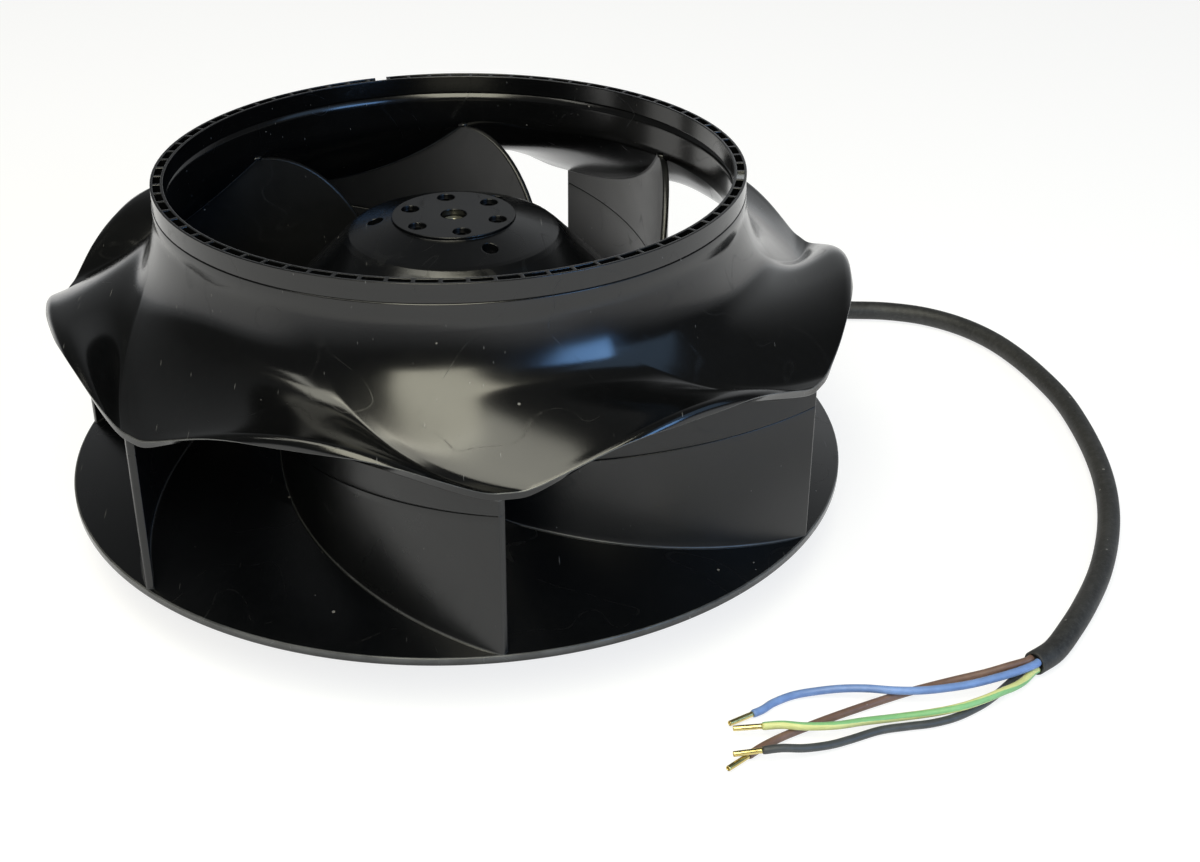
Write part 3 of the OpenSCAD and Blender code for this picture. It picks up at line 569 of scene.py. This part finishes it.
def new_group(name, inputs, outputs):
    """An empty node group with a Vector input, the named number inputs and the named number outputs."""
    tree = bpy.data.node_groups.new(name, "ShaderNodeTree")
    tree.interface.new_socket("Vector", in_out="INPUT", socket_type="NodeSocketVector")
    for label, value in inputs.items():
        tree.interface.new_socket(label, in_out="INPUT", socket_type="NodeSocketFloat").default_value = value
    for label in outputs:
        tree.interface.new_socket(label, in_out="OUTPUT", socket_type="NodeSocketFloat")
    return tree, tree.nodes.new("NodeGroupInput").outputs, tree.nodes.new("NodeGroupOutput").inputs


def make_moulded_skin():
    """Moulded plastic: clouded tone, clouded gloss, and a height of fine grain on slow sink marks."""
    tree, given, wanted = new_group("moulded skin", {"Grain": 2200.0, "Sink": 0.5}, ["Tone", "Gloss", "Height"])
    at = given["Vector"]
    tone = math(tree, "MULTIPLY_ADD", noise(tree, at, 26.0, 4.0, 0.6), 0.65,
                math(tree, "MULTIPLY", noise(tree, at, 420.0, 2.0), 0.35))
    tree.links.new(spread(tree, tone, 0.33, 0.67), wanted["Tone"])
    cloud = math(tree, "MULTIPLY_ADD", noise(tree, at, 16.0, 3.0, 0.55, 0.6), 0.7,
                 math(tree, "MULTIPLY", noise(tree, at, 95.0, 3.0), 0.3))
    tree.links.new(spread(tree, cloud, 0.34, 0.66), wanted["Gloss"])
    grain = noise(tree, at, given["Grain"], 2.0, 0.6)
    sink = math(tree, "MULTIPLY", noise(tree, at, 55.0, 1.0), given["Sink"])
    tree.links.new(math(tree, "MULTIPLY_ADD", grain, 0.35, sink), wanted["Height"])
    return tree


def make_handling():
    """Dust as small round specks in some cells of a Voronoi pattern, scratches as long thin cells of two more, and
    the borders of dried drops as thin contour lines of a slow noise."""
    tree, given, wanted = new_group("handling", {"Dust": 0.5, "Scratches": 0.3}, ["Specks", "Lines", "Stains"])
    at = given["Vector"]
    cells = place(tree, "ShaderNodeTexVoronoi", {"Vector": at, "Scale": 190.0})
    chance = place(tree, "ShaderNodeSeparateColor", {0: cells.outputs["Color"]}).outputs
    size = math(tree, "MULTIPLY_ADD", chance[1], 0.07, 0.02)
    dot = math(tree, "LESS_THAN", cells.outputs["Distance"], size)
    patch = spread(tree, noise(tree, at, 14.0, 2.0), 0.35, 0.75, 0.0, 0.5)
    chosen = math(tree, "LESS_THAN", chance[0], math(tree, "MULTIPLY", patch, given["Dust"]))
    tree.links.new(math(tree, "MULTIPLY", dot, chosen), wanted["Specks"])
    lines = None
    for turn, stretch in (((0.3, 0.2, 0.5), (900, 34, 300)), ((0.9, -0.4, 2.1), (1100, 45, 380))):
        long_cells = place(tree, "ShaderNodeTexVoronoi", {"Vector": stretched(tree, at, stretch, turn), "Scale": 1.0})
        pick = place(tree, "ShaderNodeSeparateColor", {0: long_cells.outputs["Color"]}).outputs[0]
        thin = spread(tree, long_cells.outputs["Distance"], 0.05, 0.16, 1.0, 0.0)
        kept = math(tree, "LESS_THAN", pick, math(tree, "MULTIPLY", given["Scratches"], 0.06))
        line = math(tree, "MULTIPLY", thin, kept)
        lines = line if lines is None else math(tree, "MAXIMUM", lines, line)
    tree.links.new(lines, wanted["Lines"])
    drops = noise(tree, at, 34.0, 1.0, 0.5, 0.5)
    border = math(tree, "ABSOLUTE", math(tree, "SUBTRACT", drops, 0.56))
    ragged = noise(tree, at, 240.0, 2.0)
    thin = spread(tree, border, 0.002, 0.008, 1.0, 0.0)
    tree.links.new(math(tree, "MULTIPLY", thin, spread(tree, ragged, 0.35, 0.6)), wanted["Stains"])
    return tree


def make_worked_metal():
    """Metal: a clouded tone, gloss and height from noise drawn out along the tool marks."""
    tree, given, wanted = new_group("worked metal", {"Marks": 900.0, "Long": 0.08}, ["Tone", "Gloss", "Height"])
    at = given["Vector"]
    along = place(tree, "ShaderNodeCombineXYZ", {0: given["Long"], 1: given["Long"], 2: 1.0}).outputs[0]
    drawn = place(tree, "ShaderNodeVectorMath", {0: at, 1: along}, operation="MULTIPLY").outputs[0]
    marks = noise(tree, drawn, given["Marks"], 3.0, 0.6)
    cloud = noise(tree, at, 60.0, 3.0, 0.6)
    tone = math(tree, "MULTIPLY_ADD", marks, 0.4, math(tree, "MULTIPLY", cloud, 0.6))
    tree.links.new(spread(tree, tone, 0.35, 0.65), wanted["Tone"])
    tree.links.new(spread(tree, cloud, 0.3, 0.7), wanted["Gloss"])
    tree.links.new(marks, wanted["Height"])
    return tree


MOULDED, HANDLING, WORKED = make_moulded_skin(), make_handling(), make_worked_metal()


def use_group(tree, group, vector, **values):
    """A shared group placed in a material with this material's own values."""
    made = place(tree, "ShaderNodeGroup", node_tree=group)
    tree.links.new(vector, made.inputs["Vector"])
    for label, value in values.items():
        made.inputs[label].default_value = value
    return made.outputs


def new_material(name):
    """A material with its node tree, its shader and its Object coordinates."""
    material = bpy.data.materials.new(name)
    material.use_nodes = True
    tree = material.node_tree
    return material, tree, tree.nodes["Principled BSDF"], place(tree, "ShaderNodeTexCoord").outputs["Object"]


def connect(tree, shader, colour, rough, height, strength, depth, rounding=0.0):
    """Links colour, roughness and a bump of the given height, over edges rounded in the shading, into the shader."""
    tree.links.new(colour, shader.inputs["Base Color"])
    tree.links.new(rough, shader.inputs["Roughness"])
    bump = place(tree, "ShaderNodeBump", {"Strength": strength, "Distance": depth, "Height": height})
    if rounding:
        bevel = place(tree, "ShaderNodeBevel", {"Radius": rounding}, samples=8)
        tree.links.new(bevel.outputs[0], bump.inputs["Normal"])
    tree.links.new(bump.outputs[0], shader.inputs["Normal"])


def moulded_plastic(name, dark, light, rough, grain=2200.0, sink=0.5, bump=0.25, dust=0.5, scratches=0.3,
                    edge=None, ior=1.5, rounding=0.0):
    """Moulded plastic: tone between two colours, a painted highlight in a paler colour on marked edges, dust, thin
    scratches and dull drop marks.
    """
    material, tree, shader, at = new_material(name)
    skin = use_group(tree, MOULDED, at, Grain=grain, Sink=sink)
    marks = use_group(tree, HANDLING, at, Dust=dust, Scratches=scratches)
    colour = blend(tree, skin["Tone"], dark, light)
    if edge:
        # Painted highlight: edges marked in the mesh attribute are blended towards the pale edge colour, broken up by
        # noise.
        stripe_and_highlight = place(tree, "ShaderNodeAttribute", attribute_name="stripe_and_highlight").outputs["Fac"]
        patchy = spread(tree, noise(tree, at, 120.0, 3.0), 0.25, 0.6, 0.21, 0.6)
        colour = blend(tree, math(tree, "MULTIPLY", stripe_and_highlight, patchy), colour, edge)
    colour = blend(tree, math(tree, "MULTIPLY", marks["Lines"], 0.55), colour, (0.16, 0.16, 0.16))
    colour = blend(tree, math(tree, "MULTIPLY", marks["Specks"], 0.6), colour, (0.22, 0.21, 0.2))
    gloss = spread(tree, skin["Gloss"], 0.0, 1.0, *rough)
    gloss = math(tree, "MULTIPLY_ADD", marks["Specks"], 0.3, gloss)
    gloss = math(tree, "MULTIPLY_ADD", marks["Stains"], 0.12, gloss, clamp=True)
    connect(tree, shader, colour, gloss, skin["Height"], bump, 0.0002, rounding)
    shader.inputs["IOR"].default_value = ior
    return material


def metal(name, dark, light, rough, marks=900.0, long=0.08, bump=0.15, dust=0.3):
    """Bare metal: tone and gloss along the tool marks, a little dust that dulls it."""
    material, tree, shader, at = new_material(name)
    skin = use_group(tree, WORKED, at, Marks=marks, Long=long)
    handled = use_group(tree, HANDLING, at, Dust=dust, Scratches=0.6)
    colour = blend(tree, skin["Tone"], dark, light)
    colour = blend(tree, math(tree, "MULTIPLY", handled["Specks"], 0.5), colour, tuple(0.4 * c for c in dark))
    gloss = spread(tree, skin["Gloss"], 0.0, 1.0, *rough)
    gloss = math(tree, "MULTIPLY_ADD", handled["Lines"], 0.15, gloss, clamp=True)
    connect(tree, shader, colour, gloss, skin["Height"], bump, 0.0001)
    shader.inputs["Metallic"].default_value = 1.0
    return material


def laminated_steel():
    """Stacked sheets half a millimetre thick: bands along Z in tone and height, over a clouded metal."""
    material, tree, shader, at = new_material("lamination steel")
    skin = use_group(tree, WORKED, at, Marks=700.0, Long=0.3)
    sheets = place(tree, "ShaderNodeTexWave", {"Vector": at, "Scale": 320.0, "Distortion": 0.3}, bands_direction="Z")
    colour = blend(tree, sheets.outputs["Fac"], (0.13, 0.13, 0.135), (0.27, 0.275, 0.28))
    colour = blend(tree, math(tree, "MULTIPLY", skin["Tone"], 0.5), colour, (0.2, 0.17, 0.14))
    gloss = spread(tree, skin["Gloss"], 0.0, 1.0, 0.38, 0.55)
    connect(tree, shader, colour, gloss, sheets.outputs["Fac"], 0.3, 0.0002)
    shader.inputs["Metallic"].default_value = 0.85
    return material


def enamelled_copper():
    """Wound wire: rings of wire as bands in height and tone, bent by a slow noise, under amber enamel."""
    material, tree, shader, at = new_material("enamelled copper")
    skin = use_group(tree, WORKED, at, Marks=500.0, Long=1.0)
    turns = place(tree, "ShaderNodeTexWave", {"Vector": at, "Scale": 420.0, "Distortion": 1.2, "Detail Scale": 0.4},
                  bands_direction="DIAGONAL")
    colour = blend(tree, turns.outputs["Fac"], (0.16, 0.045, 0.015), (0.48, 0.17, 0.055))
    colour = blend(tree, math(tree, "MULTIPLY", skin["Tone"], 0.35), colour, (0.35, 0.09, 0.03))
    gloss = spread(tree, skin["Gloss"], 0.0, 1.0, 0.22, 0.4)
    connect(tree, shader, colour, gloss, turns.outputs["Fac"], 0.5, 0.0003)
    shader.inputs["Metallic"].default_value = 0.8
    shader.inputs["Coat Weight"].default_value = 0.5
    return material


def soft_sheath(name, dark, light, rough, dust, bump=0.35, mottle=0.0):
    """Soft extruded skin: clouded tone, pale rubbed places, fine mottling, and dust that sits in the grain."""
    material, tree, shader, at = new_material(name)
    skin = use_group(tree, MOULDED, at, Grain=1500.0, Sink=0.8)
    marks = use_group(tree, HANDLING, at, Dust=dust, Scratches=0.5)
    colour = blend(tree, skin["Tone"], dark, light)
    patchy = spread(tree, noise(tree, at, 70.0, 4.0, 0.7), 0.5, 0.72, 0.0, 0.45)
    pale = tuple(min(1.0, 1.5 * c + 0.012) for c in light)
    colour = blend(tree, patchy, colour, pale)
    if mottle:
        grains = spread(tree, noise(tree, at, 620.0, 4.0, 0.75), 0.46, 0.72, 0.0, mottle)
        colour = blend(tree, grains, colour, pale)
    colour = blend(tree, math(tree, "MULTIPLY", marks["Specks"], 0.5), colour, (0.3, 0.29, 0.27))
    gloss = spread(tree, skin["Gloss"], 0.0, 1.0, *rough)
    connect(tree, shader, colour, gloss, skin["Height"], bump, 0.0002)
    return material


def two_colour_sheath():
    """Earth core: green and yellow halves by the "trim" angle round the core, their border slightly ragged."""
    material, tree, shader, at = new_material("earth core")
    skin = use_group(tree, MOULDED, at, Grain=1500.0, Sink=0.6)
    lean = place(tree, "ShaderNodeAttribute", attribute_name="stripe_and_highlight").outputs["Fac"]
    ragged = math(tree, "MULTIPLY_ADD", noise(tree, at, 900.0, 2.0), 0.12, lean)
    band = spread(tree, ragged, 0.7, 0.82)
    yellow = blend(tree, skin["Tone"], (0.58, 0.6, 0.23), (0.7, 0.72, 0.31))
    green = blend(tree, skin["Tone"], (0.18, 0.43, 0.16), (0.26, 0.52, 0.23))
    gloss = spread(tree, skin["Gloss"], 0.0, 1.0, 0.36, 0.5)
    connect(tree, shader, blend(tree, band, yellow, green), gloss, skin["Height"], 0.2, 0.0002)
    return material


# Finishes: one material for every slot of the record, and one of its own for the inlet ring

# Pale grey painted on marked edges of the plastic as a highlight.
EDGE_HIGHLIGHT_GREY = (0.13, 0.132, 0.135)
FINISHES = {
    "base_plastic": moulded_plastic("base plastic", (0.0015, 0.0017, 0.0021), (0.0026, 0.0029, 0.0035), (0.17, 0.27),
                                    grain=2400.0, dust=0.8, scratches=0.5, edge=EDGE_HIGHLIGHT_GREY, rounding=0.0005),
    "blade_plastic": moulded_plastic("blade plastic", (0.0028, 0.003, 0.0034), (0.0045, 0.0048, 0.0053), (0.25, 0.36),
                                     grain=1800.0, bump=0.3, dust=0.4, scratches=0.2, edge=EDGE_HIGHLIGHT_GREY),
    "shroud_plastic": moulded_plastic("shroud plastic", (0.0017, 0.0018, 0.0019), (0.003, 0.0031, 0.0033),
                                      (0.12, 0.2), grain=2600.0, bump=0.12, scratches=0.7, edge=EDGE_HIGHLIGHT_GREY, ior=1.55),
    # Painted shade: the ring's colours are a little darker than the shroud plastic's, so that the ring reads darker.
    "ring_plastic": moulded_plastic("ring plastic", (0.0015, 0.0016, 0.0017), (0.0027, 0.0028, 0.003), (0.12, 0.2),
                                    grain=2600.0, bump=0.12, scratches=0.5, ior=1.55, rounding=0.0004),
    "weight_zinc": metal("weight zinc", (0.6, 0.61, 0.61), (0.78, 0.79, 0.78), (0.2, 0.34), marks=1400.0),
    "screw_steel": metal("screw steel", (0.02, 0.02, 0.021), (0.052, 0.052, 0.054), (0.24, 0.38), marks=1500.0,
                         long=0.6),
    "cast_aluminium": metal("cast aluminium", (0.42, 0.43, 0.44), (0.58, 0.59, 0.6), (0.42, 0.58), marks=700.0,
                            long=1.0, bump=0.3),
    "lamination_steel": laminated_steel(),
    "shaft_steel": metal("shaft steel", (0.34, 0.33, 0.26), (0.5, 0.49, 0.4), (0.4, 0.54), marks=1200.0, long=0.05),
    "bearing_steel": metal("bearing steel", (0.55, 0.56, 0.57), (0.7, 0.71, 0.72), (0.1, 0.2), marks=1600.0),
    "spring_steel": metal("spring steel", (0.16, 0.165, 0.18), (0.27, 0.275, 0.29), (0.25, 0.4), marks=1300.0),
    "cage_brass": metal("cage brass", (0.36, 0.25, 0.08), (0.52, 0.38, 0.14), (0.25, 0.4), marks=1300.0),
    "insulation": moulded_plastic("insulation", (0.56, 0.51, 0.38), (0.68, 0.63, 0.5), (0.38, 0.52), grain=1500.0),
    "copper": enamelled_copper(),
    "earth_brass": metal("earth brass", (0.5, 0.36, 0.11), (0.66, 0.49, 0.17), (0.2, 0.35), marks=1500.0),
    "gland_rubber": soft_sheath("gland rubber", (0.008, 0.008, 0.0085), (0.014, 0.014, 0.0145), (0.5, 0.65), 0.8),
    "sheath": soft_sheath("cable sheath", (0.009, 0.009, 0.0088), (0.023, 0.0228, 0.0222), (0.5, 0.68), 1.6, 0.9,
                          mottle=0.8),
    "core_blue": soft_sheath("blue core", (0.13, 0.215, 0.46), (0.175, 0.285, 0.56), (0.38, 0.5), 0.3, 0.2),
    "core_brown": soft_sheath("brown core", (0.125, 0.072, 0.054), (0.185, 0.108, 0.08), (0.4, 0.52), 0.3, 0.2),
    "core_black": soft_sheath("black core", (0.035, 0.038, 0.04), (0.06, 0.064, 0.066), (0.4, 0.52), 0.4, 0.2),
    "core_earth": two_colour_sheath(),
    "ferrule_brass": metal("ferrule brass", (0.54, 0.43, 0.15), (0.74, 0.63, 0.28), (0.2, 0.34), marks=1500.0),
}
NODE_FINISH = {
    "base_plastic": ["base_wheel"],
    "blade_plastic": ["base_blades", "shroud_blades"],
    "shroud_plastic": ["shroud"],
    "ring_plastic": ["balance_ring"],
    "weight_zinc": ["balance_weight"],
    "screw_steel": ["hub_screws"],
    "cast_aluminium": ["rotor_cup", "squirrel_cage", "stator_flange"],
    "lamination_steel": ["rotor_core", "stator_core"],
    "shaft_steel": ["shaft"],
    "spring_steel": ["shaft_circlip", "preload_spring", "bearing_cap"],
    "bearing_steel": ["upper_bearing_inner", "upper_bearing_balls", "upper_bearing_outer",
                      "lower_bearing_inner", "lower_bearing_balls", "lower_bearing_outer"],
    "cage_brass": ["upper_bearing_cage", "lower_bearing_cage"],
    "insulation": ["upper_insulator", "lower_insulator", "thermal_cutout"],
    "copper": ["windings"],
    "earth_brass": ["earth_screw"],
    "gland_rubber": ["cable_gland"],
    "sheath": ["cable"],
    "core_blue": ["blue_wire"],
    "core_brown": ["brown_wire"],
    "core_black": ["black_wire"],
    "core_earth": ["earth_wire"],
    "ferrule_brass": ["wire_ferrules"],
}


def finish(piece, slot):
    """Gives a piece the finish of its slot, in place of what it came with."""
    piece.data.materials.clear()
    piece.data.materials.append(FINISHES[slot])


for slot_name, members in NODE_FINISH.items():
    for member in members:
        finish(nodes[member], slot_name)
for piece in [cable_sheath, shroud_skin, lower_blades, upper_blades, rim_bead, *cores.values(), *ferrules]:
    finish(piece, piece["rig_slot"])


# Studio: a white floor, a dim room with a paler back, soft lamps where the photograph's highlights point

def make_floor():
    """A wide plain floor. Seen straight or in a reflection it is lifted to white and still keeps the shadow."""
    mesh = bpy.data.meshes.new("floor")
    half, z = 40.0, -0.0003
    mesh.from_pydata([(-half, -half, z), (half, -half, z), (half, half, z), (-half, half, z)], [], [(0, 1, 2, 3)])
    floor = bpy.data.objects.new("floor", mesh)
    bpy.context.collection.objects.link(floor)
    material = bpy.data.materials.new("floor")
    material.use_nodes = True
    tree = material.node_tree
    tree.nodes.clear()
    rays = place(tree, "ShaderNodeLightPath").outputs
    seen = math(tree, "MAXIMUM", math(tree, "MAXIMUM", rays["Is Camera Ray"], rays["Is Glossy Ray"]),
                rays["Is Transmission Ray"])
    plain = place(tree, "ShaderNodeBsdfDiffuse", {"Color": (0.8, 0.8, 0.8, 1)}).outputs[0]
    shadow = place(tree, "ShaderNodeBsdfDiffuse", {"Color": (0.3, 0.3, 0.3, 1)}).outputs[0]
    glow = place(tree, "ShaderNodeEmission", {"Color": (0.78, 0.78, 0.78, 1), "Strength": 1.0}).outputs[0]
    lifted = place(tree, "ShaderNodeAddShader", {0: shadow, 1: glow}).outputs[0]
    mixed = place(tree, "ShaderNodeMixShader", {0: seen, 1: plain, 2: lifted}).outputs[0]
    place(tree, "ShaderNodeOutputMaterial", {"Surface": mixed})
    mesh.materials.append(material)


def make_room():
    """The room's light by direction: pale at the horizon and towards the back right, dim elsewhere."""
    world = bpy.data.worlds.new("room")
    bpy.context.scene.world = world
    world.use_nodes = True
    tree = world.node_tree
    way = place(tree, "ShaderNodeSeparateXYZ", {0: place(tree, "ShaderNodeTexCoord").outputs["Generated"]}).outputs
    horizon = spread(tree, way["Z"], 0.02, 0.14, 0.34, 0.0)
    back = math(tree, "MULTIPLY", spread(tree, way["Y"], 0.35, 0.85), spread(tree, way["X"], -0.1, 0.4, 0.12, 0.52))
    low = math(tree, "MULTIPLY", back, spread(tree, way["Z"], 0.5, 0.8, 1.0, 0.5))
    level = math(tree, "ADD", math(tree, "ADD", horizon, low), 0.07)
    tree.links.new(level, tree.nodes["Background"].inputs["Strength"])
    tree.nodes["Background"].inputs["Color"].default_value = (0.95, 0.98, 1.0, 1)


FAN_MIDDLE, LAMP_DISTANCE = Vector((0, 0, 0.07)), 1.2


def make_lamp(name, azimuth, elevation, width, height, radiance, colour):
    """A rectangular softbox that faces the fan; its power is pi times its area times its radiance.

    The azimuth runs from the front, -Y, to the right, +X."""
    a, e = np.radians([azimuth, elevation])
    away = Vector((np.sin(a) * np.cos(e), -np.cos(a) * np.cos(e), np.sin(e)))
    data = bpy.data.lights.new(name, "AREA")
    data.shape = "RECTANGLE"
    data.size, data.size_y = width, height
    data.energy = np.pi * width * height * radiance
    data.color = colour
    lamp = bpy.data.objects.new(name, data)
    facing = away.to_track_quat("Z", "Y").to_matrix().to_4x4()
    lamp.matrix_world = Matrix.Translation(FAN_MIDDLE + LAMP_DISTANCE * away) @ facing
    bpy.context.collection.objects.link(lamp)


make_floor()
make_room()
make_lamp("key", -7, 49, 0.62, 1.12, 6.6, (1.0, 0.97, 0.78))
make_lamp("overhead", -72, 73, 0.55, 0.5, 4.0, (1.0, 0.98, 0.84))
make_lamp("strip", -68, 50, 0.13, 0.42, 4.0, (1.0, 0.99, 0.88))
make_lamp("window", 42, 18, 0.46, 0.36, 7.5, (0.24, 0.51, 1.0))
make_lamp("sky", 62, 30, 0.75, 0.6, 0.8, (0.4, 0.65, 1.0))
bpy.context.scene.view_settings.view_transform = "Standard"
